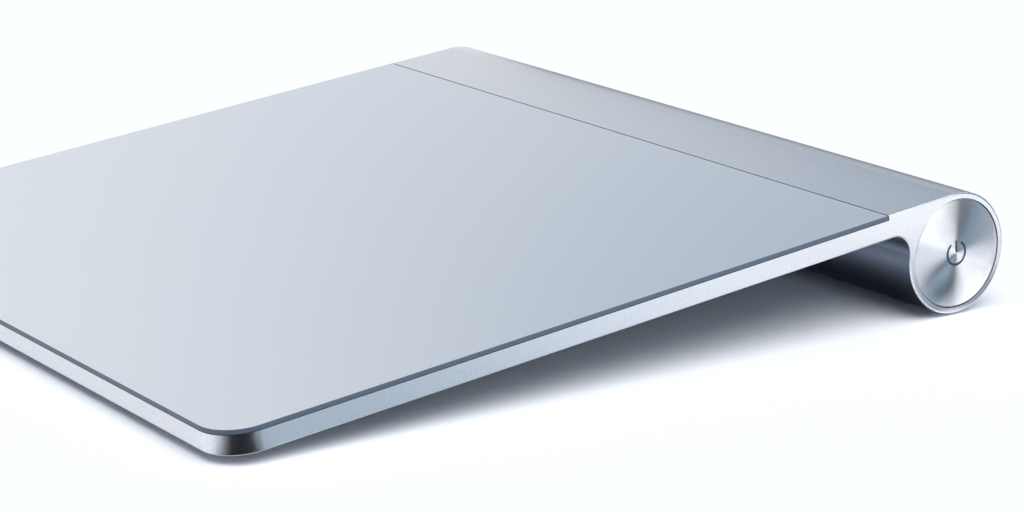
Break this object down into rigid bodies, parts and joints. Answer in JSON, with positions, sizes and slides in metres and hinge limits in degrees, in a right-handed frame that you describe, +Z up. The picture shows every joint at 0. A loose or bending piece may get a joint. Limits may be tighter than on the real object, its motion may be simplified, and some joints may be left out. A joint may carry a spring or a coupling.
{
  "type": "wireless desk trackpad",
  "caption": "Slim wireless trackpad: glass touch plate on a sloping aluminium body with a battery tube behind, an end power button, a coin-slot battery door and clicking front feet.",
  "frame": {"origin": "on the desk top, under the centre of the body's outline", "axes": "+X to the power button end of the tube, +Y from the front edge to the battery tube, +Z up"},
  "size_m": [0.13, 0.1312, 0.0184],
  "materials": {
    "anodised_body": "bead blasted and clear anodised",
    "touch_glass": "etched matt face over a silver-grey coat, ground dark edge",
    "bond_tape": "black foam tape",
    "circuit_board": "green solder mask",
    "sensor_board": "dark blue solder mask with a copper grid",
    "shield_can": "tinned sheet steel",
    "chip_resin": "moulded black resin",
    "socket_plastic": "ivory moulded plastic",
    "ribbon_film": "amber polyimide film over copper",
    "copper_strip": "plated copper",
    "cover_plastic": "fine moulded texture",
    "lever_sheet": "rolled stainless sheet",
    "screw_steel": "plated steel",
    "switch_plastic": "black moulded plastic",
    "plunger_plastic": "white moulded plastic",
    "foot_plastic": "white-grey moulded plastic",
    "foot_rubber": "grey rubber",
    "liner_plastic": "black moulded plastic",
    "cell_jacket": "plain foil jacket",
    "spun_metal": "spun, with fine turned rings",
    "thread_metal": "turned and threaded",
    "contact_metal": "nickel plated",
    "gasket_rubber": "black rubber"
  },
  "bodies": {
    "base": {"housing": "anodised_body", "glass_plate": "touch_glass", "glass_bond_tape": "bond_tape", "touch_sensor_board": "sensor_board", "sensor_flex": "ribbon_film", "logic_board": "circuit_board", "wireless_module": "shield_can", "touch_controller_chips": "chip_resin", "board_connectors": "socket_plastic", "board_screws": "screw_steel", "antenna": "copper_strip", "bottom_cover": "cover_plastic", "cover_bond_tape": "bond_tape", "hinge_bracket_left": "lever_sheet", "hinge_bracket_right": "lever_sheet", "hinge_pins": "screw_steel", "hinge_screws": "screw_steel", "click_switch_board": "circuit_board", "click_switch_body": "switch_plastic", "click_switch_flex": "ribbon_film", "rear_foot_left": "foot_rubber", "rear_foot_right": "foot_rubber", "battery_liner": "liner_plastic", "battery_cell_left": "cell_jacket", "battery_cell_right": "cell_jacket", "door_thread_ring": "thread_metal", "switch_carrier": "liner_plastic", "contact_carrier": "liner_plastic", "positive_contact": "contact_metal", "battery_lead": "contact_metal", "power_switch_board": "circuit_board", "power_switch_body": "switch_plastic", "power_flex": "ribbon_film"},
    "click_lever": {"click_lever": "lever_sheet", "foot_boss_left": "foot_plastic", "foot_boss_right": "foot_plastic", "foot_pad_left": "foot_rubber", "foot_pad_right": "foot_rubber", "click_switch_plunger": "plunger_plastic"},
    "power_button": {"power_button": "spun_metal", "power_switch_plunger": "plunger_plastic"},
    "door_seal": {"door_gasket": "gasket_rubber"},
    "battery_door": {"battery_door": "spun_metal", "contact_cup": "contact_metal", "negative_spring": "contact_metal"}
  },
  "joints": [
    {"name": "click_press", "type": "hinge", "parent": "base", "child": "click_lever", "pos_m": [0, -0.03406, 0.00608], "axis": [-1, 0, 0], "range_deg": [0, 1.2], "stiffness_Nm_per_rad": 0.4, "springref_deg": -3.15},
    {"name": "power_press", "type": "slide", "parent": "base", "child": "power_button", "axis": [-1, 0, 0], "range_m": [0, 0.0004], "stiffness_N_per_m": 400, "springref_m": -0.002},
    {"name": "battery_door_turn", "type": "hinge", "parent": "base", "child": "door_seal", "pos_m": [-0.06475, 0.05655, 0.00935], "axis": [-1, 0, 0], "range_deg": [0, 720]},
    {"name": "battery_door_travel", "type": "slide", "parent": "door_seal", "child": "battery_door", "axis": [-1, 0, 0], "range_m": [0, 0.002]}
  ],
  "couplings": [
    {"joint": "battery_door_travel", "follows": "battery_door_turn", "m_per_rad": 0.00015915}
  ]
}
